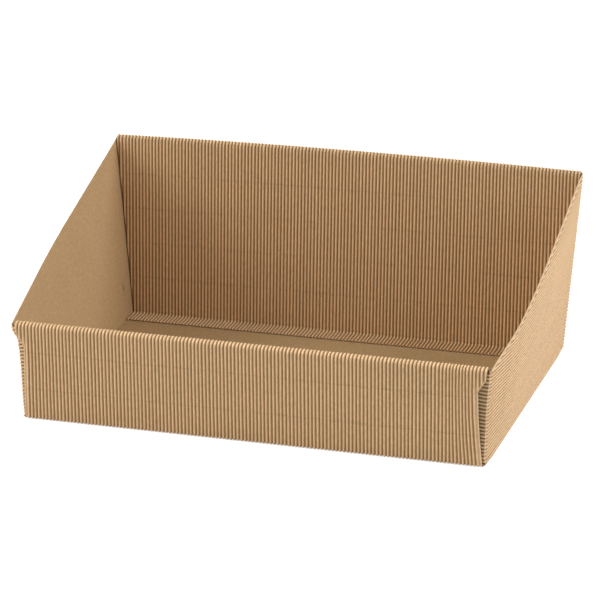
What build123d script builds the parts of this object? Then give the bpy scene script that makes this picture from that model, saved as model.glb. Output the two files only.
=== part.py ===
from build123d import *
import os
from math import cos, radians, sin, tan

# Display tray folded from one blank of single-face corrugated card.
# The card is a smooth liner with rounded ribs glued on its other side, and every rib
# runs front to back in the flat blank. The ribs face out on the walls and under the
# base. The front and back walls roll over at the top and come down again inside, ribs
# facing in, to a foot that lies on the base. Each side wall is one layer, and its two
# tuck flaps stand inside the doubled front and back walls.
#
# Frame: millimetres, +X right, +Y to the back, +Z up, origin on the standing plane
# under the middle of the base.

# Outside of the folded tray.
base_width = 410.0
base_depth = 297.0
front_height = 87.0
back_height = 173.0
side_flare = 5.43

# The card.
card_thickness = 1.6
web_thickness = 0.45
rib_pitch = 3.2

# Folds: the first is the outside radius of a rolled top edge, and the others are the
# radius of the smooth side.
roll_radius = 5.0
base_fold_radius = 0.6
corner_fold_radius = 0.8
foot_fold_radius = 3.0

# Doubled walls: the inner panel slopes away from the outer one, down to its foot.
front_inner_slope = 4.0
back_inner_slope = 4.8
foot_depth = 21.0

# Outlines of the outer panels: straight edges set in from the corners of the base, then
# a slanted cut out to the ears that carry the rolled edge.
panel_inset = 3.4
ear_height = 11.0
ear_slant = 10.0

# Side walls and their tuck flaps.
tuck_length = 90.0
back_corner_drop = 1.5
slit_length = 6.0
slit_width = 0.5
slit_height = 32.5
slit_from_back = 40.0

# Clearances.
layer_gap = 0.4
side_clearance = 1.2
trim_margin = 10.0

# Derived sizes.
half_width = base_width / 2
half_depth = base_depth / 2
flare_rise = tan(radians(side_flare))
outer_fold_radius = base_fold_radius + card_thickness
fold_turn = 90 - side_flare
fold_tangent = outer_fold_radius * tan(radians(fold_turn / 2))
base_half = half_width - fold_tangent
base_end = half_depth - outer_fold_radius
liner_height = card_thickness + layer_gap
tuck_liner = half_depth - 2 * card_thickness - layer_gap
inner_half = half_width - card_thickness - side_clearance
trim_floor = card_thickness + layer_gap / 2
trim_reach = half_width + back_height * flare_rise + trim_margin
trim_top = back_height + trim_margin

# Directions of the right-hand side wall: up the wall, and square out of it.
wall_up = Vector(sin(radians(side_flare)), 0, cos(radians(side_flare)))
wall_out = Vector(cos(radians(side_flare)), 0, -sin(radians(side_flare)))


def card_section(plane, ribs):
    """Card cut across its ribs: smooth side along the plane's x axis, ribs towards +y."""
    flank = (web_thickness + card_thickness) / 2
    length = ribs * rib_pitch
    with BuildSketch(plane) as section:
        with BuildLine():
            Polyline((0, flank), (0, 0), (length, 0), (length, flank))
            for rib in range(ribs):
                start = rib * rib_pitch
                middle = start + rib_pitch / 2
                end = start + rib_pitch
                ThreePointArc((start, flank), ((start + middle) / 2, card_thickness), (middle, flank))
                ThreePointArc((middle, flank), ((middle + end) / 2, web_thickness), (end, flank))
        make_face()
    return section.sketch


def inner_panel_line(height, slope):
    """Smooth side of an inner panel, from its rolled edge to the tip of its foot, in the
    half of the tray where the wall stands at +Y."""
    roll_y = half_depth - roll_radius
    roll_z = height - roll_radius
    liner_radius = roll_radius - card_thickness
    top_y = roll_y - liner_radius * cos(radians(slope))
    top_z = roll_z + liner_radius * sin(radians(slope))
    foot_y = top_y - (top_z - liner_height) * tan(radians(slope))
    return (top_y, top_z), (foot_y, liner_height), (foot_y - foot_depth, liner_height)


def to_front(points):
    """The same line in the front half of the tray."""
    return [(-y, z) for y, z in points]


def outer_panel_waste(wall_plane, height):
    """What is cut away beside an outer panel and its bottom fold, on both sides."""
    panel_half = half_width - panel_inset
    slant_top = height - ear_height
    slant_bottom = slant_top - ear_slant
    ear_half = inner_half + slant_top * flare_rise
    with BuildSketch(wall_plane) as waste:
        with BuildLine():
            Polyline(
                (panel_half, -trim_margin),
                (panel_half, slant_bottom),
                (ear_half, slant_top),
                (trim_reach, slant_top),
                (trim_reach, -trim_margin),
                close=True,
            )
        make_face()
        mirror(about=Plane.YZ)
    return waste.sketch


# The long strip of the blank, from the front foot over the front wall, along the base and
# over the back wall to the back foot.
front_line = to_front(inner_panel_line(front_height, front_inner_slope))
back_line = inner_panel_line(back_height, back_inner_slope)
outer_liner = half_depth - card_thickness
roll_liner_radius = roll_radius - card_thickness
with BuildLine(Plane.YZ) as strip_line:
    FilletPolyline(*reversed(front_line), radius=foot_fold_radius)
    CenterArc(
        (roll_radius - half_depth, front_height - roll_radius),
        roll_liner_radius,
        front_inner_slope,
        180 - front_inner_slope,
    )
    FilletPolyline(
        (-outer_liner, front_height - roll_radius),
        (-outer_liner, card_thickness),
        (outer_liner, card_thickness),
        (outer_liner, back_height - roll_radius),
        radius=base_fold_radius,
    )
    CenterArc(
        (half_depth - roll_radius, back_height - roll_radius),
        roll_liner_radius,
        0,
        180 - back_inner_slope,
    )
    FilletPolyline(*back_line, radius=foot_fold_radius)

# The middle rib lies on the tray's middle plane, so that the ribs are alike on both sides.
half_ribs = int((half_width + back_height * flare_rise) / rib_pitch) + 1
strip_start = -(half_ribs + 1 / 4) * rib_pitch
front_tip = front_line[-1]
strip_plane = Plane(
    origin=(strip_start, front_tip[0], front_tip[1]),
    x_dir=(1, 0, 0),
    z_dir=(0, -1, 0),
)

# The right-hand side wall with its bottom fold and tuck flaps, bent round one line that is
# square to the corner folds.
wall_ribs = int(back_height / cos(radians(side_flare)) / rib_pitch) + 1
wall_foot = Plane(origin=(half_width, 0, 0), x_dir=wall_out, z_dir=wall_up).offset(fold_tangent)
tuck_tip = -card_thickness - tuck_length
with BuildLine(wall_foot) as wall_line:
    FilletPolyline(
        (tuck_tip, -tuck_liner),
        (-card_thickness, -tuck_liner),
        (-card_thickness, tuck_liner),
        (tuck_tip, tuck_liner),
        radius=corner_fold_radius,
    )
wall_section_plane = Plane(
    origin=wall_foot.from_local_coords((tuck_tip, -tuck_liner, 0)),
    x_dir=wall_up,
    z_dir=wall_out,
)

with BuildPart() as side_wall:
    sweep(sections=card_section(wall_section_plane, wall_ribs), path=wall_line.wire())
    # Sloping top edge, cut straight from the low front corner to the high back corner.
    with BuildSketch(Plane.YZ):
        with BuildLine():
            Polyline(
                (-half_depth, front_height - roll_radius),
                (half_depth, back_height - back_corner_drop),
                (half_depth, trim_top + trim_margin),
                (-half_depth, trim_top + trim_margin),
                close=True,
            )
        make_face()
    extrude(amount=trim_reach, mode=Mode.SUBTRACT)
    # The tuck flaps stop short of the rolled edges above them.
    for wall_side, height in ((-1, front_height), (1, back_height)):
        flap_top = height - roll_radius - layer_gap
        flap_edge = half_width - card_thickness - corner_fold_radius
        with BuildSketch(Plane.XZ.offset(-wall_side * half_depth)):
            with BuildLine():
                Polyline(
                    (flap_edge + flap_top * flare_rise, flap_top),
                    (flap_edge + trim_top * flare_rise, trim_top),
                    (half_width - tuck_length - trim_margin, trim_top),
                    (half_width - tuck_length - trim_margin, flap_top),
                    close=True,
                )
            make_face()
        extrude(amount=wall_side * (half_depth - tuck_liner), mode=Mode.SUBTRACT)
    # Bottom fold, along the ribs.
    with BuildSketch(Plane.XZ):
        with BuildLine():
            outer_arc = CenterArc((base_half, outer_fold_radius), outer_fold_radius, -90, fold_turn)
            inner_arc = CenterArc((base_half, outer_fold_radius), base_fold_radius, -90, fold_turn)
            Line(outer_arc @ 0, inner_arc @ 0)
            Line(outer_arc @ 1, inner_arc @ 1)
        make_face()
    extrude(amount=base_end, both=True)

with BuildPart() as tray:
    sweep(sections=card_section(strip_plane, 2 * half_ribs + 1), path=strip_line.wire())
    # Sides of the inner panels, feet and ears: they follow the flare of the side walls.
    with BuildSketch(Plane.XZ):
        with BuildLine():
            Polyline(
                (inner_half + trim_floor * flare_rise, trim_floor),
                (inner_half + trim_top * flare_rise, trim_top),
                (trim_reach, trim_top),
                (trim_reach, trim_floor),
                close=True,
            )
        make_face()
        mirror(about=Plane.YZ)
    extrude(amount=half_depth + trim_margin, both=True, mode=Mode.SUBTRACT)
    # Sides of the two outer panels.
    extrude(
        outer_panel_waste(Plane.XZ.offset(base_end), front_height),
        amount=outer_fold_radius + trim_margin,
        mode=Mode.SUBTRACT,
    )
    extrude(
        outer_panel_waste(Plane.XZ.offset(-base_end), back_height),
        amount=-outer_fold_radius - trim_margin,
        mode=Mode.SUBTRACT,
    )
    # The base ends where the folds of the side walls begin.
    with BuildSketch(Plane.XY.offset(trim_floor)):
        with Locations(((base_half + trim_reach) / 2, 0), (-(base_half + trim_reach) / 2, 0)):
            Rectangle(trim_reach - base_half, 2 * base_end)
    extrude(amount=-trim_floor - trim_margin, mode=Mode.SUBTRACT)
    add(side_wall.part)
    add(mirror(side_wall.part, about=Plane.YZ, mode=Mode.PRIVATE))
    # Short slit low down in the left-hand side wall, near the back.
    with BuildSketch(Plane.YZ):
        with Locations((half_depth - slit_from_back, slit_height)):
            SlotOverall(slit_length, slit_width, rotation=90)
    extrude(amount=-trim_reach, mode=Mode.SUBTRACT)

os.makedirs("parts", exist_ok=True)
tray.part.label = "tray"
export_step(tray.part, "parts/tray.step")
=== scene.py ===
from math import atan2, ceil, cos, pi, radians, sin, tan

import bmesh
import bpy
from mathutils import Matrix, Vector, noise


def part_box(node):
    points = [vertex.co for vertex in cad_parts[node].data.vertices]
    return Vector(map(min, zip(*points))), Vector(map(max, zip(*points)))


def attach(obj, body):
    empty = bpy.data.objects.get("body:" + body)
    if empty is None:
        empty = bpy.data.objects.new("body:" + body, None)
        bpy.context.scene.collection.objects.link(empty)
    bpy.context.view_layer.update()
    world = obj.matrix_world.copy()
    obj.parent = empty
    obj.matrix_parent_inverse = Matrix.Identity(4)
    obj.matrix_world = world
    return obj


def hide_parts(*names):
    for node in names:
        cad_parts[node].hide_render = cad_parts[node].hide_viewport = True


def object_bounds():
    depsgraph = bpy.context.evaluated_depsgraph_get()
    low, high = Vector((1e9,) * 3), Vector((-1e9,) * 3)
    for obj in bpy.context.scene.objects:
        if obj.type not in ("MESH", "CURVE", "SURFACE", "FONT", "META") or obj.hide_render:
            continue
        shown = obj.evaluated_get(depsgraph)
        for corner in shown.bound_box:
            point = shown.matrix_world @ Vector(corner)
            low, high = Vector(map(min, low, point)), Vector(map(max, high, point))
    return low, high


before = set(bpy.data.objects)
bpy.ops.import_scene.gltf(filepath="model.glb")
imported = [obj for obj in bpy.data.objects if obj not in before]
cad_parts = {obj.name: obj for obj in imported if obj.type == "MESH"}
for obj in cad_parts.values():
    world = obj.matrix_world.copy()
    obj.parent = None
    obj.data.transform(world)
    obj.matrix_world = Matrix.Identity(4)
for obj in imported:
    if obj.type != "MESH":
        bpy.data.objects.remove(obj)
cad_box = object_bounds()

# ---------------------------------------------------------------------------------------
# The card: one sheet of open E-flute card, a fluted paper glued on a smooth liner. It is
# die-cut flat with the flutes running front to back, then folded into the tray, so every
# panel below is walked out of the same two plies, one straight run or fold at a time.

CARD = 0.0016
VALLEY = 0.00045
PITCH = 0.0032

# Each point keeps its place across and along the flutes in the flat blank, its height over
# the liner as a share of the card, how far its rib is pressed flat, and how much paler its
# paper is, from wear at the cuts or a painted highlight. Where that is below zero, the paper
# is darker with painted shade.
LAYERS = ("across", "along", "lift", "pressed", "wear_and_painted_light")


def wave(across):
    """Height of the fluting's outer face over the smooth face of the liner."""
    return (CARD + VALLEY) / 2 + (CARD - VALLEY) / 2 * cos(2 * pi * across / PITCH)


def smooth(across):
    """The liner's smooth face is where heights are counted from."""
    return 0.0


def new_sheet():
    """An empty mesh with the layers above, and the panel that each face belongs to."""
    sheet = bmesh.new()
    for name in LAYERS:
        sheet.verts.layers.float.new(name)
    sheet.faces.layers.int.new("panel")
    return sheet


fluting = new_sheet()
liner = new_sheet()

# ---------------------------------------------------------------------------------------
# The middle strip of the blank: base, low front wall and high back wall. Each wall rolls
# over at the top without a crease and comes down inside, ribs facing into the tray, to a
# foot that lies on the base. Its outer panel is narrower, with ears under the rolled edge.

_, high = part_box("tray")
HALF_DEPTH = high.y
BACK_HEIGHT = high.z
FRONT_HEIGHT = 0.087
HALF_WIDTH = 0.205
FLARE = radians(5.43)
RISE = tan(FLARE)
GAP = 0.0004
BASE_FOLD = 0.0006
OUTER_FOLD = BASE_FOLD + CARD
ROLL_RADIUS = 0.005
LINER_ROLL = ROLL_RADIUS - CARD
FOOT_FOLD = 0.003
FOOT_DEPTH = 0.021
FRONT_SLOPE = radians(4.0)
BACK_SLOPE = radians(4.8)
PANEL_INSET = 0.0034
EAR_HEIGHT = 0.011
EAR_SLANT = 0.010
FRONT_SIDE_GAP = 0.0026
BACK_SIDE_GAP = 0.0013
FOLD_TANGENT = OUTER_FOLD * tan((pi / 2 - FLARE) / 2)
BASE_HALF = HALF_WIDTH - FOLD_TANGENT
BASE_END = HALF_DEPTH - OUTER_FOLD
PANEL_HALF = HALF_WIDTH - PANEL_INSET
RIB_STEPS = 6
LINER_STEP = 4 * PITCH
PANEL_STEPS = 3
FOOT_STEPS = 3
ROLL_STEPS = 8
BASE_FOLD_STEPS = 2
ROUNDING = 0.01
TOLERANCE = 1e-6
FRONT_INSIDE, FRONT_SLANT, FRONT_LOW, BASE, BACK_LOW, BACK_SLANT, BACK_INSIDE = range(7)
FRONT_WALL = (FRONT_HEIGHT, FRONT_SLOPE, FRONT_SIDE_GAP, FRONT_INSIDE, FRONT_SLANT, FRONT_LOW)
BACK_WALL = (BACK_HEIGHT, BACK_SLOPE, BACK_SIDE_GAP, BACK_INSIDE, BACK_SLANT, BACK_LOW)


def places_between(start, end, step):
    """Evenly spaced places, at most a step apart, with both ends among them."""
    count = ceil((end - start) / step - ROUNDING)
    return [start + (end - start) * i / count for i in range(count + 1)]


def edge_line(sheet, places, profile, crest=0.0):
    """A chain of points across the flutes, ready to be walked. One crest lies at crest."""
    across = sheet.verts.layers.float["across"]
    lift = sheet.verts.layers.float["lift"]
    chain = [bmesh.ops.create_vert(sheet, co=(0, 0, 0))["vert"][0]]
    for _ in places[1:]:
        chain.append(bmesh.ops.extrude_vert_indiv(sheet, verts=[chain[-1]])["verts"][0])
    for vert, place in zip(chain, places):
        vert.co = (place, 0, profile(place - crest))
        vert[across] = place
        vert[lift] = profile(place - crest) / CARD
    return chain


def press(sheet, vert, share, out):
    """Flattens a rib at one of its points, by a share of its height over the liner."""
    height = vert[sheet.verts.layers.float["lift"]] * CARD
    vert.co -= max(height - VALLEY, 0.0) * share * out
    vert[sheet.verts.layers.float["pressed"]] = share


def walk(sheet, chain, start, heading, moves, placing=Matrix.Identity(4)):
    """Carries the chain along the card in the YZ plane, from start, ribs on the right.
    A move is (panel, steps, length), or (panel, steps, smooth-side radius, turn) for a
    fold, which has its ribs outside where the turn is positive. A fifth value presses the
    ribs flat along a scored fold. At the end, placing puts the walked card in its place."""
    along = sheet.verts.layers.float["along"]
    panel_of = sheet.faces.layers.int["panel"]
    upright = Matrix.Translation((0, *start)) @ Matrix.Rotation(heading + pi, 4, "X")
    bmesh.ops.transform(sheet, matrix=upright, verts=chain)
    lead = set(chain)
    edges = [edge for edge in sheet.edges if lead.issuperset(edge.verts)]
    y, z = start
    walked = 0.0
    points, scored = set(chain), []
    for panel, steps, size, *fold in moves:
        for step in range(steps):
            if fold:
                turn = fold[0] / steps
                side = -1 if turn > 0 else 1
                centre = Vector((0, y + side * size * sin(heading), z - side * size * cos(heading)))
                motion = (Matrix.Translation(centre) @ Matrix.Rotation(turn, 4, "X")
                          @ Matrix.Translation(-centre))
                heading += turn
                walked += size * abs(turn)
            else:
                run = size / steps
                motion = Matrix.Translation((0, run * cos(heading), run * sin(heading)))
                walked += run
            y, z = (motion @ Vector((0, y, z))).yz
            grown = bmesh.ops.extrude_edge_only(sheet, edges=edges)["geom"]
            lead = {g for g in grown if isinstance(g, bmesh.types.BMVert)}
            edges = [g for g in grown if isinstance(g, bmesh.types.BMEdge) and lead.issuperset(g.verts)]
            bmesh.ops.transform(sheet, matrix=motion, verts=list(lead))
            points |= lead
            if len(fold) > 1 and step < steps - 1:
                scored.append((lead, fold[1], Vector((0, sin(heading), -cos(heading)))))
            for vert in lead:
                vert[along] = walked
            for face in (g for g in grown if isinstance(g, bmesh.types.BMFace)):
                face[panel_of] = panel
    for verts, share, out in scored:
        for vert in verts:
            press(sheet, vert, share, out)
    bmesh.ops.transform(sheet, matrix=placing, verts=list(points))


def panel_faces(sheet, *panels):
    """The faces of the named panels."""
    panel_of = sheet.faces.layers.int["panel"]
    return [face for face in sheet.faces if face[panel_of] in panels]


def cut(sheet, faces, point, outward):
    """Cuts faces along a plane. Returns all the faces of the panels that they belong to."""
    edges = list({part for face in faces for part in (*face.verts, *face.edges)})
    bmesh.ops.bisect_plane(sheet, geom=edges + faces, plane_co=point, plane_no=outward, dist=TOLERANCE)
    panel_of = sheet.faces.layers.int["panel"]
    return panel_faces(sheet, *{face[panel_of] for face in faces if face.is_valid})


def trim(sheet, faces, point, outward):
    """Cuts faces along a plane and drops what lies outside it."""
    waste = [face for face in cut(sheet, faces, point, outward)
             if (face.calc_center_median() - Vector(point)).dot(outward) > 0]
    bmesh.ops.delete(sheet, geom=waste, context="FACES")


def crush(sheet, faces, point, outward, width, pressed, out):
    """Presses the ribs flat and rubs them pale beside a cut, as the die does. The pressing
    is full up to half the width, and fades out over the other half."""
    wear_and_painted_light = sheet.verts.layers.float["wear_and_painted_light"]
    for depth in (width, width / 2):
        faces = cut(sheet, faces, Vector(point) - outward * depth, outward)
    for vert in {vert for face in faces for vert in face.verts}:
        depth = (Vector(point) - vert.co).dot(outward)
        share = min(1.0, 2 - 2 * depth / width)
        if share > 0:
            press(sheet, vert, share * pressed, out)
            vert[wear_and_painted_light] = max(vert[wear_and_painted_light], 1 - 2 * depth / width)


def doubled_wall(height, slope):
    """Depth of the foot's tip, and the straight runs of the foot and the inner panel."""
    top_y = HALF_DEPTH - ROLL_RADIUS - LINER_ROLL * cos(slope)
    drop = height - ROLL_RADIUS + LINER_ROLL * sin(slope) - CARD - GAP
    tip = top_y - drop * tan(slope) - FOOT_DEPTH
    bend = FOOT_FOLD * tan((pi / 2 - slope) / 2)
    return tip, FOOT_DEPTH - bend, drop / cos(slope) - bend


def strip_moves():
    """The walk over the strip, from the tip of the front foot to the tip of the back one."""
    walls = []
    for height, slope, _, inside, slant, lower in (FRONT_WALL, BACK_WALL):
        _, foot, inner = doubled_wall(height, slope)
        walls.append([
            (inside, 1, foot),
            (inside, FOOT_STEPS, FOOT_FOLD, slope - pi / 2),
            (inside, PANEL_STEPS, inner),
            (inside, ROLL_STEPS, LINER_ROLL, pi - slope),
            (inside, 1, EAR_HEIGHT - ROLL_RADIUS),
            (slant, 1, EAR_SLANT),
            (lower, PANEL_STEPS, height - EAR_HEIGHT - EAR_SLANT - OUTER_FOLD),
            (lower, BASE_FOLD_STEPS, BASE_FOLD, pi / 2),
        ])
    front, back = walls
    return front + [(BASE, 1, 2 * BASE_END)] + back[::-1]


def ear_cut(side, height, gap):
    """The lower corner of the cut under an ear, and the way that the cut faces."""
    top = height - EAR_HEIGHT
    spread = HALF_WIDTH - CARD - gap + top * RISE - PANEL_HALF
    corner = Vector((side * PANEL_HALF, 0, top - EAR_SLANT))
    return corner, Vector((side * EAR_SLANT, 0, -spread)).normalized()


def trim_strip(sheet):
    """The straight, slanted and flared cuts at both ends of every panel of the strip."""
    for side in (-1, 1):
        flare = Vector((side, 0, -RISE)).normalized()
        trim(sheet, panel_faces(sheet, BASE), (side * BASE_HALF, 0, 0), (side, 0, 0))
        trim(sheet, panel_faces(sheet, FRONT_LOW, BACK_LOW), (side * PANEL_HALF, 0, 0), (side, 0, 0))
        for height, _, gap, inside, slant, _ in (FRONT_WALL, BACK_WALL):
            trim(sheet, panel_faces(sheet, inside), (side * (HALF_WIDTH - CARD - gap), 0, 0), flare)
            trim(sheet, panel_faces(sheet, slant), *ear_cut(side, height, gap))


front_tip = doubled_wall(FRONT_HEIGHT, FRONT_SLOPE)[0]
reach = ceil((HALF_WIDTH + BACK_HEIGHT * RISE) / PITCH) * PITCH
for sheet, step, profile in ((fluting, PITCH / RIB_STEPS, wave), (liner, LINER_STEP, smooth)):
    line = edge_line(sheet, places_between(-reach, reach, step), profile)
    walk(sheet, line, (-front_tip, CARD + GAP), pi, strip_moves())
    trim_strip(sheet)

# The die crushes the ribs along the side cuts of the outer panels and under the ears.
CRUSH_WIDTH = 0.0036
EAR_CRUSH = 0.0016
PRESSED = 0.75
for side in (-1, 1):
    sideways = Vector((side, 0, 0))
    for facing, (height, _, gap, _, slant, lower) in ((-1, FRONT_WALL), (1, BACK_WALL)):
        out = Vector((0, facing, 0))
        corner, under = ear_cut(side, height, gap)
        crush(fluting, panel_faces(fluting, lower), sideways * PANEL_HALF, sideways,
              CRUSH_WIDTH, PRESSED, out)
        crush(fluting, panel_faces(fluting, slant), corner, under, EAR_CRUSH, PRESSED, out)

# The top of the front roll is painted paler: a painted highlight where the light falls on it.
HIGHLIGHT_DEPTH = 0.0022
ROLL_HIGHLIGHT = 1.0
wear_and_painted_light = fluting.verts.layers.float["wear_and_painted_light"]
for vert in fluting.verts:
    if vert.co.y < 0 and vert.co.z > FRONT_HEIGHT - HIGHLIGHT_DEPTH:
        vert[wear_and_painted_light] = ROLL_HIGHLIGHT

# ---------------------------------------------------------------------------------------
# Side walls: one layer each, flared outwards, with the ribs lying level on the outside.
# The top edge is cut straight down from the back corner to the front one, and a tuck flap
# is creased in at each end to stand inside the doubled wall.

CORNER_FOLD = 0.0008
TUCK = 0.090
BACK_CORNER_DROP = 0.0015
TUCK_LINER = HALF_DEPTH - 2 * CARD - GAP
FRONT_RECESS = 0.0014
SCORED = 0.65
EDGE_CRUSH = 0.0024
WALL_STEPS = 12
CORNER_STEPS = 4
BOTTOM_STEPS = 8
SIDE_PANELS = range(BACK_INSIDE + 1, BACK_INSIDE + 6)
FRONT_TUCK, WALL, BACK_TUCK, CORNER, BOTTOM_FOLD = SIDE_PANELS

# Each side wall is walked from front to back in a flat plane, then stood up on its flare.
wall_up = Vector((sin(FLARE), 0, cos(FLARE)))
wall_out = Vector((cos(FLARE), 0, -sin(FLARE)))
on_wall = Matrix((
    (wall_up.x, wall_out.x, 0, HALF_WIDTH),
    (0, 0, 1, 0),
    (wall_up.z, wall_out.z, 0, 0),
    (0, 0, 0, 1),
))
side_moves = [
    (FRONT_TUCK, 1, TUCK - CORNER_FOLD),
    (CORNER, CORNER_STEPS, CORNER_FOLD, pi / 2, SCORED),
    (WALL, WALL_STEPS, 2 * (TUCK_LINER - CORNER_FOLD) - FRONT_RECESS),
    (CORNER, CORNER_STEPS, CORNER_FOLD, pi / 2, SCORED),
    (BACK_TUCK, 1, TUCK - CORNER_FOLD),
]
wall_top = FOLD_TANGENT + ceil(BACK_HEIGHT / cos(FLARE) / PITCH) * PITCH
edge_start = (0, -HALF_DEPTH, FRONT_HEIGHT - ROLL_RADIUS)
edge_rise = BACK_HEIGHT - BACK_CORNER_DROP - (FRONT_HEIGHT - ROLL_RADIUS)
above_edge = Vector((0, -edge_rise, 2 * HALF_DEPTH)).normalized()


def crease_bottom(sheet, profile):
    """The crease that joins the right wall to the base. It carries one rib, which is
    pressed flat at both ends of the crease."""
    places = places_between(-BASE_END, BASE_END, 2 * BASE_END / WALL_STEPS)
    crease = edge_line(sheet, places, smooth)
    for vert in crease:
        vert.co = (BASE_HALF, vert.co.x, CARD)
    ends = set(crease)
    edges = [edge for edge in sheet.edges if ends.issuperset(edge.verts)]
    before = set(sheet.faces)
    bmesh.ops.spin(sheet, geom=crease + edges, cent=(BASE_HALF, 0, OUTER_FOLD), axis=(0, -1, 0),
                   angle=pi / 2 - FLARE, steps=BOTTOM_STEPS, use_duplicate=False)
    panel_of = sheet.faces.layers.int["panel"]
    lift = sheet.verts.layers.float["lift"]
    spun = [face for face in sheet.faces if face not in before]
    for face in spun:
        face[panel_of] = BOTTOM_FOLD
    for vert in {vert for face in spun for vert in face.verts}:
        spoke = vert.co - Vector((BASE_HALF, vert.co.y, OUTER_FOLD))
        turned = atan2(-spoke.z, spoke.x)
        share = 1 - (turned - FLARE) / (pi / 2 - FLARE)
        rise = profile((share - 0.5) * PITCH)
        if abs(vert.co.y) > BASE_END - CARD:
            rise = min(rise, VALLEY)
        vert.co += spoke.normalized() * rise
        vert[lift] = rise / CARD


def copy_to_left(sheet):
    """The left wall is the same as the right one, the other way round."""
    copied = bmesh.ops.duplicate(sheet, geom=panel_faces(sheet, *SIDE_PANELS))["geom"]
    bmesh.ops.transform(sheet, matrix=Matrix.Scale(-1, 4, (1, 0, 0)),
                        verts=[part for part in copied if isinstance(part, bmesh.types.BMVert)])
    bmesh.ops.reverse_faces(sheet, faces=[p for p in copied if isinstance(p, bmesh.types.BMFace)])


for sheet, step, profile in ((fluting, PITCH / RIB_STEPS, wave), (liner, PITCH, smooth)):
    places = places_between(FOLD_TANGENT, wall_top, step)
    line = edge_line(sheet, places, profile, crest=FOLD_TANGENT + PITCH / 2)
    walk(sheet, line, (-CARD - TUCK, FRONT_RECESS - TUCK_LINER), 0.0, side_moves, on_wall)
    trim(sheet, panel_faces(sheet, FRONT_TUCK, CORNER, WALL, BACK_TUCK), edge_start, above_edge)
    if sheet is fluting:
        crush(sheet, panel_faces(sheet, WALL), edge_start, above_edge, EDGE_CRUSH, 1.0, wall_out)
    for panel, wall_height in ((FRONT_TUCK, FRONT_HEIGHT), (BACK_TUCK, BACK_HEIGHT)):
        flap_top = wall_height - ROLL_RADIUS - GAP
        trim(sheet, panel_faces(sheet, panel), (0, 0, flap_top), (0, 0, 1))
    crease_bottom(sheet, profile)
    copy_to_left(sheet)

# A short upright slit is cut through the left wall only. Its rim is painted darker, as
# painted shade inside the hollow slit.
SLIT_LENGTH = 0.006
SLIT_WIDTH = 0.0024
SLIT_HEIGHT = 0.0325
SLIT_FROM_BACK = 0.040
SLIT_MARGIN = 0.0006
SLIT_SHADE = -2.6
HEIGHT_NEAR_SLIT = 3 * SLIT_LENGTH
LENGTH_NEAR_SLIT = 2 * TUCK_LINER / WALL_STEPS
slit_middle = Vector((0, HALF_DEPTH - SLIT_FROM_BACK, SLIT_HEIGHT))
slit_sides = [(Vector((0, turn, 0)), SLIT_WIDTH / 2) for turn in (-1, 1)]
slit_sides += [(Vector((0, 0, turn)), SLIT_LENGTH / 2) for turn in (-1, 1)]


def within_slit(place, margin=0.0):
    """Whether a place is inside the slit, or within a margin of it."""
    return all((place - slit_middle).dot(away) < half + margin for away, half in slit_sides)


def left_wall(sheet):
    """The faces of the left wall."""
    return [face for face in panel_faces(sheet, WALL) if face.calc_center_median().x < 0]


for sheet in (fluting, liner):
    for margin in (0.0, SLIT_MARGIN):
        for away, half in slit_sides:
            near = [face for face in left_wall(sheet)
                    if any(abs(vert.co.z - SLIT_HEIGHT) < HEIGHT_NEAR_SLIT for vert in face.verts)
                    and abs(face.calc_center_median().y - slit_middle.y) < LENGTH_NEAR_SLIT]
            cut(sheet, near, slit_middle + away * (half + margin), away)
    waste = [face for face in left_wall(sheet) if within_slit(face.calc_center_median())]
    bmesh.ops.delete(sheet, geom=waste, context="FACES")
    wear_and_painted_light = sheet.verts.layers.float["wear_and_painted_light"]
    for vert in {vert for face in left_wall(sheet) for vert in face.verts}:
        if within_slit(vert.co, SLIT_MARGIN / 2):
            vert[wear_and_painted_light] = SLIT_SHADE

# ---------------------------------------------------------------------------------------
# Set of the folded card: the free edges of the side walls spring outwards at mid length and
# pull in the top corners of the back wall. The front corners stand in a little, and the
# left wall curls out at the top of its front corner.

SIDE_BOW = 0.0050
SIDE_LAYER = 1.6 * CARD
SPRING_POWER = 1.4
BOX_MARGIN = 0.0002
LEAST_ROOM = 1e-5
CORNER_PULL = 0.0045
CORNER_SINK = 0.0010
PULL_DEPTH = 0.07
WOBBLE = 0.00022
WAVES_ACROSS = 160
WAVES_ALONG = 45
WAVES_SEED = 3
WOBBLE_START = 0.02
PINCH_START = 0.165
PINCH_FULL = 0.200
PINCH_DEPTH = 0.075
PINCH_HEIGHT = 0.060
LOW_PINCH_HEIGHT = 5 * CARD
RIGHT_PINCH = (0.0013, 0.0027)
LEFT_PINCH = (0.0, 0.0007)
TURN_IN = 0.0023
CURL = 0.0017
CURL_FROM = 0.069
CURL_TO = 0.079


def ease(value, start, full):
    """Rises smoothly from 0 at start to 1 at full."""
    share = min(max((value - start) / (full - start), 0.0), 1.0)
    return share * share * (3 - 2 * share)


def held_below(value, limit):
    """The value, eased so that it never passes the limit."""
    return value * limit / (value ** 4 + limit ** 4) ** 0.25


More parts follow.
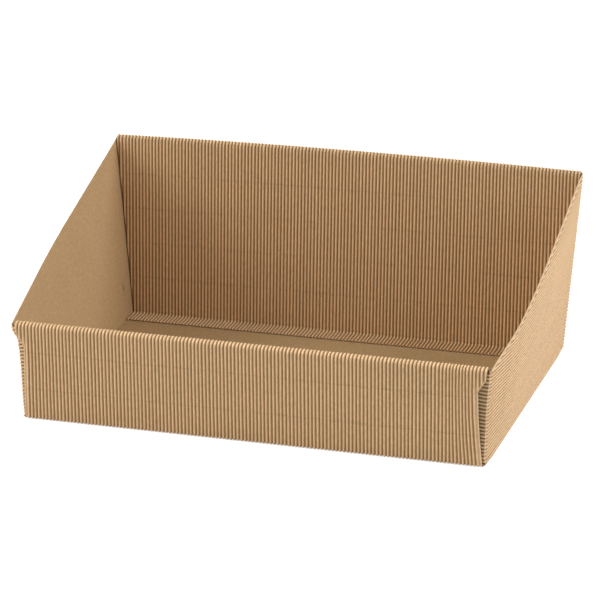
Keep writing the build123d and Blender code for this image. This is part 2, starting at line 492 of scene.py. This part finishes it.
def set_of_card(co, across, along, walled):
    """How far a point of the folded card stands off the flat panels."""
    slack = Vector((0, 0, 0))
    side = 1 if co.x > 0 else -1
    back_share = (co.y + HALF_DEPTH) / (2 * HALF_DEPTH)
    edge_height = FRONT_HEIGHT + back_share * (BACK_HEIGHT - FRONT_HEIGHT)
    wall_inside = HALF_WIDTH - SIDE_LAYER + co.z * RISE
    wander = noise.noise(Vector((across * WAVES_ACROSS, along * WAVES_ALONG, WAVES_SEED)))
    if abs(co.x) > wall_inside and abs(co.y) < TUCK_LINER:
        middle = cos(pi / 2 * co.y / TUCK_LINER)
        spring = SIDE_BOW * middle * (co.z / edge_height) ** SPRING_POWER
        room = max(cad_box[1][0] - BOX_MARGIN - HALF_WIDTH - co.z * RISE, LEAST_ROOM)
        slack.x = side * held_below(spring, room)
        slack.z = WOBBLE * wander * min(1, co.z / WOBBLE_START) * middle
    else:
        slack.x = WOBBLE * wander
    low_pinch, high_pinch = RIGHT_PINCH if side > 0 else LEFT_PINCH
    near_front = ease(-co.y, HALF_DEPTH - PINCH_DEPTH, HALF_DEPTH)
    pinch = low_pinch * ease(co.z, OUTER_FOLD, LOW_PINCH_HEIGHT)
    pinch += high_pinch * ease(co.z, OUTER_FOLD, PINCH_HEIGHT)
    slack.x -= side * pinch * near_front * ease(abs(co.x), PINCH_START, PINCH_FULL)
    if walled and side < 0:
        curled = ease(co.z, CURL_FROM, CURL_TO)
        turn_in = TURN_IN * ease(co.z, OUTER_FOLD, PINCH_HEIGHT) * (1 - curled)
        slack.x += (turn_in - CURL * curled) * near_front
    if co.y > HALF_DEPTH - PULL_DEPTH:
        near_back = (co.y - HALF_DEPTH + PULL_DEPTH) / PULL_DEPTH
        pull = near_back ** 2 * (co.x / HALF_WIDTH) ** 2 * co.z / BACK_HEIGHT
        slack.y = -CORNER_PULL * pull
        slack.z -= CORNER_SINK * pull
    return slack


for sheet in (fluting, liner):
    across = sheet.verts.layers.float["across"]
    along = sheet.verts.layers.float["along"]
    walls = {vert for face in panel_faces(sheet, *SIDE_PANELS) for vert in face.verts}
    for vert in sheet.verts:
        vert.co += set_of_card(vert.co, vert[across], vert[along], vert in walls)

# ---------------------------------------------------------------------------------------
# The paper: unbleached kraft, brown and matt, with fibres that lie across the flutes. The
# grooves are painted darker than the crests, as painted shade in the flutes, and each cut
# edge shows pale raw fibre.

# The tuck flaps and the base are painted a shade darker than the walls: painted shade in
# the recesses behind the outer front and back panels, deepest on the right, and on the floor
# between the walls.
LEFT_FLAP_SHADE = -0.5
RIGHT_FLAP_SHADE = -1.6
BASE_SHADE = -0.35
for sheet in (fluting, liner):
    wear_and_painted_light = sheet.verts.layers.float["wear_and_painted_light"]
    for vert in {vert for face in panel_faces(sheet, FRONT_TUCK, BACK_TUCK) for vert in face.verts}:
        vert[wear_and_painted_light] = LEFT_FLAP_SHADE if vert.co.x < 0 else RIGHT_FLAP_SHADE
    for vert in {vert for face in panel_faces(sheet, BASE) for vert in face.verts}:
        vert[wear_and_painted_light] = BASE_SHADE

# A pattern is given by how often it repeats in a metre, across and along the flutes.
ROUGHNESS = 0.92
SPECULAR = 0.25
FIBRES = (620, 1300, 1)
FIBRE_DETAIL = 3.0
PATCHES = (330, 210, 1)
PATCH_SHARE = 0.6
CLOUDS = (18, 30, 1)
CLOUD_SHARE = 0.2
FLECKS = (900, 1500, 1)
FLECK_DETAIL = 1.0
FLECK_LEVEL = 0.22
FLECK_SHARE = 0.8
RIB_TO_RIB = (310, 0.4, 1)
RIB_TO_RIB_SHADE = 0.16
MARK_BENDS = (60, 0, 1)
MARK_WANDER = 0.0015
HALF_MARK_SPACING = 0.0165
HALF_MARK_WIDTH = 0.0005
MARK_SHADE = -0.12
PRESSED_SHADE = 0.7
WEAR_AND_PAINTED_LIGHT_SHADE = 0.22
FIBRE_STRENGTH = 0.5
FIBRE_HEIGHT = 0.00012
# The groove tint is painted shade in the flutes.
CREST_TINT = (0.840, 0.572, 0.330)
GROOVE_SHADE_TINT = (0.270, 0.136, 0.038)
SMOOTH_TINT = (0.490, 0.314, 0.150)
EDGE_TINT = (0.72, 0.53, 0.33)
MOTTLING = 0.60
EDGE_MOTTLING = 0.12


def kraft_material(name, tint, mottling, groove_shade_tint=None):
    """Paper whose pattern lies in the flat blank, so that it follows every fold."""
    material = bpy.data.materials.new(name)
    material.use_nodes = True
    nodes, links = material.node_tree.nodes, material.node_tree.links
    shader = nodes["Principled BSDF"]
    shader.inputs["Roughness"].default_value = ROUGHNESS
    shader.inputs["Specular IOR Level"].default_value = SPECULAR

    def attribute(layer):
        node = nodes.new("ShaderNodeAttribute")
        node.attribute_name = layer
        return node.outputs["Fac"]

    def maths(operation, first, second=0.0, third=0.0):
        node = nodes.new("ShaderNodeMath")
        node.operation = operation
        for socket, value in zip(node.inputs, (first, second, third)):
            if isinstance(value, (int, float)):
                socket.default_value = value
            else:
                links.new(value, socket)
        return node.outputs[0]

    def grain(place, stretch, detail=2.0):
        """A cloudy pattern that swings to both sides of zero."""
        scaled = nodes.new("ShaderNodeVectorMath")
        scaled.operation = "MULTIPLY"
        scaled.inputs[1].default_value = stretch
        links.new(place, scaled.inputs[0])
        texture = nodes.new("ShaderNodeTexNoise")
        texture.inputs["Scale"].default_value = 1.0
        texture.inputs["Detail"].default_value = detail
        links.new(scaled.outputs[0], texture.inputs["Vector"])
        return maths("SUBTRACT", texture.outputs["Fac"], 0.5)

    across, along = attribute("across"), attribute("along")
    blank = nodes.new("ShaderNodeCombineXYZ")
    links.new(across, blank.inputs["X"])
    links.new(along, blank.inputs["Y"])
    place = blank.outputs[0]
    fibres = grain(place, FIBRES, FIBRE_DETAIL)
    shade = maths("MULTIPLY_ADD", fibres, mottling, 1.0)
    shade = maths("MULTIPLY_ADD", grain(place, PATCHES), mottling * PATCH_SHARE, shade)
    shade = maths("MULTIPLY_ADD", grain(place, CLOUDS), mottling * CLOUD_SHARE, shade)
    fleck = maths("GREATER_THAN", grain(place, FLECKS, FLECK_DETAIL), FLECK_LEVEL)
    shade = maths("MULTIPLY_ADD", fleck, -mottling * FLECK_SHARE, shade)
    colour = nodes.new("ShaderNodeVectorMath")
    colour.operation = "SCALE"
    colour.inputs[0].default_value = tint
    if groove_shade_tint:
        # A pressed rib has one even tint. Faint level marks cross the ribs at even spaces.
        lowest = VALLEY / CARD
        rib = maths("MULTIPLY_ADD", attribute("lift"), 1 / (1 - lowest), -lowest / (1 - lowest))
        even = maths("MULTIPLY", maths("SUBTRACT", PRESSED_SHADE, rib), attribute("pressed"))
        rib = maths("ADD", rib, even)
        # Painted shade: the colour runs from the groove tint up to the crest tint with the rib's
        # height.
        tints = nodes.new("ShaderNodeMix")
        tints.data_type = "VECTOR"
        tints.inputs["A"].default_value = groove_shade_tint
        tints.inputs["B"].default_value = tint
        links.new(rib, tints.inputs["Factor"])
        links.new(tints.outputs["Result"], colour.inputs[0])
        shade = maths("MULTIPLY_ADD", grain(place, RIB_TO_RIB, 0.0), RIB_TO_RIB_SHADE, shade)
        level = maths("MULTIPLY_ADD", grain(place, MARK_BENDS), MARK_WANDER, along)
        from_mark = maths("PINGPONG", level, HALF_MARK_SPACING)
        mark = maths("LESS_THAN", from_mark, HALF_MARK_WIDTH)
        shade = maths("MULTIPLY_ADD", mark, MARK_SHADE, shade)
    # Wear at the cuts pales the paper; the same value carries the painted highlight and painted shade.
    shade = maths("MULTIPLY_ADD", attribute("wear_and_painted_light"), WEAR_AND_PAINTED_LIGHT_SHADE, shade)
    links.new(shade, colour.inputs["Scale"])
    links.new(colour.outputs[0], shader.inputs["Base Color"])

    bump = nodes.new("ShaderNodeBump")
    bump.inputs["Strength"].default_value = FIBRE_STRENGTH
    bump.inputs["Distance"].default_value = FIBRE_HEIGHT
    links.new(fibres, bump.inputs["Height"])
    links.new(bump.outputs[0], shader.inputs["Normal"])
    return material


ribbed_face = kraft_material("kraft_fluted_paper", CREST_TINT, MOTTLING, GROOVE_SHADE_TINT)
smooth_face = kraft_material("kraft_liner_paper", SMOOTH_TINT, MOTTLING)
cut_edge = kraft_material("kraft_cut_edge", EDGE_TINT, EDGE_MOTTLING)

# Each ply is thickened away from the crests, and its cut edges get their own material.
FLUTING_PAPER = 0.00025
LINER_PAPER = 0.00032
for sheet, name, thickness, face_material in (
    (fluting, "fluted_paper", FLUTING_PAPER, ribbed_face),
    (liner, "liner_paper", LINER_PAPER, smooth_face),
):
    outside = set(sheet.verts)
    bmesh.ops.solidify(sheet, geom=sheet.faces[:], thickness=thickness)
    for face in sheet.faces:
        faced = sum(vert in outside for vert in face.verts)
        face.material_index = int(0 < faced < len(face.verts))
        face.smooth = True
    for edge in sheet.edges:
        edge.smooth = len({face.material_index for face in edge.link_faces}) == 1
    mesh = bpy.data.meshes.new(name)
    sheet.to_mesh(mesh)
    mesh.materials.append(face_material)
    mesh.materials.append(cut_edge)
    ply = bpy.data.objects.new(name, mesh)
    bpy.context.scene.collection.objects.link(ply)
    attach(ply, "root")
    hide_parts("tray")

# ---------------------------------------------------------------------------------------
# Studio: a plain pale floor in a pale room, a large soft lamp at each side and a weak one
# in front. The camera stands in front of the tray, a little to the right and above it.

CAMERA_TURN = radians(17.42)
CAMERA_LIFT = radians(19.39)
CAMERA_ROLL = radians(-0.55)
CAMERA_DISTANCE = 2.7263
AIM_RIGHT = -0.0006
AIM_UP = 0.0725
LENS = 185.2
FARTHEST_SEEN = 50


def direction(turn, lift):
    """The way out from the tray. Turn is counted from the front towards the right."""
    return Vector((sin(turn) * cos(lift), -cos(turn) * cos(lift), sin(lift)))


back = direction(CAMERA_TURN, CAMERA_LIFT)
right = Vector((cos(CAMERA_TURN), sin(CAMERA_TURN), 0))
up = back.cross(right)
right, up = (right * cos(CAMERA_ROLL) + up * sin(CAMERA_ROLL),
             up * cos(CAMERA_ROLL) - right * sin(CAMERA_ROLL))
eye = right * AIM_RIGHT + up * AIM_UP + back * CAMERA_DISTANCE
camera = bpy.data.objects.new("camera", bpy.data.cameras.new("camera"))
camera.data.lens = LENS
camera.data.clip_end = FARTHEST_SEEN
camera.matrix_world = Matrix((
    (right.x, up.x, back.x, eye.x),
    (right.y, up.y, back.y, eye.y),
    (right.z, up.z, back.z, eye.z),
    (0, 0, 0, 1),
))
bpy.context.scene.collection.objects.link(camera)
bpy.context.scene.camera = camera
bpy.context.scene.view_settings.view_transform = "Standard"

FLOOR_SIZE = 6
FLOOR_COLOUR = (0.85, 0.85, 0.85, 1)
FLOOR_GLOW = (0.62, 0.62, 0.62, 1)
FLOOR_ROUGHNESS = 0.9
floor = bmesh.new()
bmesh.ops.create_grid(floor, x_segments=1, y_segments=1, size=FLOOR_SIZE)
floor_mesh = bpy.data.meshes.new("floor")
floor.to_mesh(floor_mesh)
sweep = bpy.data.materials.new("white_sweep")
sweep.use_nodes = True
nodes, links = sweep.node_tree.nodes, sweep.node_tree.links
shader = nodes["Principled BSDF"]
shader.inputs["Base Color"].default_value = FLOOR_COLOUR
shader.inputs["Roughness"].default_value = FLOOR_ROUGHNESS
shader.inputs["Emission Color"].default_value = FLOOR_GLOW
rays = nodes.new("ShaderNodeLightPath")
links.new(rays.outputs["Is Camera Ray"], shader.inputs["Emission Strength"])
floor_mesh.materials.append(sweep)
floor_object = bpy.data.objects.new("floor", floor_mesh)
bpy.context.scene.collection.objects.link(floor_object)

ROOM_LIGHT = 0.475
ROOM_SEEN = 1.0
world = bpy.data.worlds.new("room")
bpy.context.scene.world = world
world.use_nodes = True
nodes, links = world.node_tree.nodes, world.node_tree.links
rays = nodes.new("ShaderNodeLightPath")
strength = nodes.new("ShaderNodeMix")
strength.inputs["A"].default_value = ROOM_LIGHT
strength.inputs["B"].default_value = ROOM_SEEN
links.new(rays.outputs["Is Camera Ray"], strength.inputs["Factor"])
links.new(strength.outputs["Result"], nodes["Background"].inputs["Strength"])
nodes["Background"].inputs["Color"].default_value = (1, 1, 1, 1)

PLAIN = (0.96, 1.0, 1.05)
COOL = (0.92, 1.0, 1.12)
LAMP_DISTANCE = 3.0
LAMP_WIDTH = 1.8


def softbox(name, turn, lift, power, colour):
    """A round lamp that looks at the middle of the tray. Its turn and lift are in degrees."""
    lamp = bpy.data.lights.new(name, "AREA")
    lamp.shape = "DISK"
    lamp.size = LAMP_WIDTH
    lamp.energy = power
    lamp.color = colour
    away = direction(radians(turn), radians(lift))
    place = away * LAMP_DISTANCE + Vector((0, 0, BACK_HEIGHT / 2))
    stand = bpy.data.objects.new(name, lamp)
    stand.matrix_world = Matrix.Translation(place) @ away.to_track_quat("Z", "Y").to_matrix().to_4x4()
    bpy.context.scene.collection.objects.link(stand)


softbox("right_lamp", 98, 31, 60, COOL)
softbox("left_lamp", -80, 30, 57, PLAIN)
softbox("front_lamp", -20, 12, 12, PLAIN)
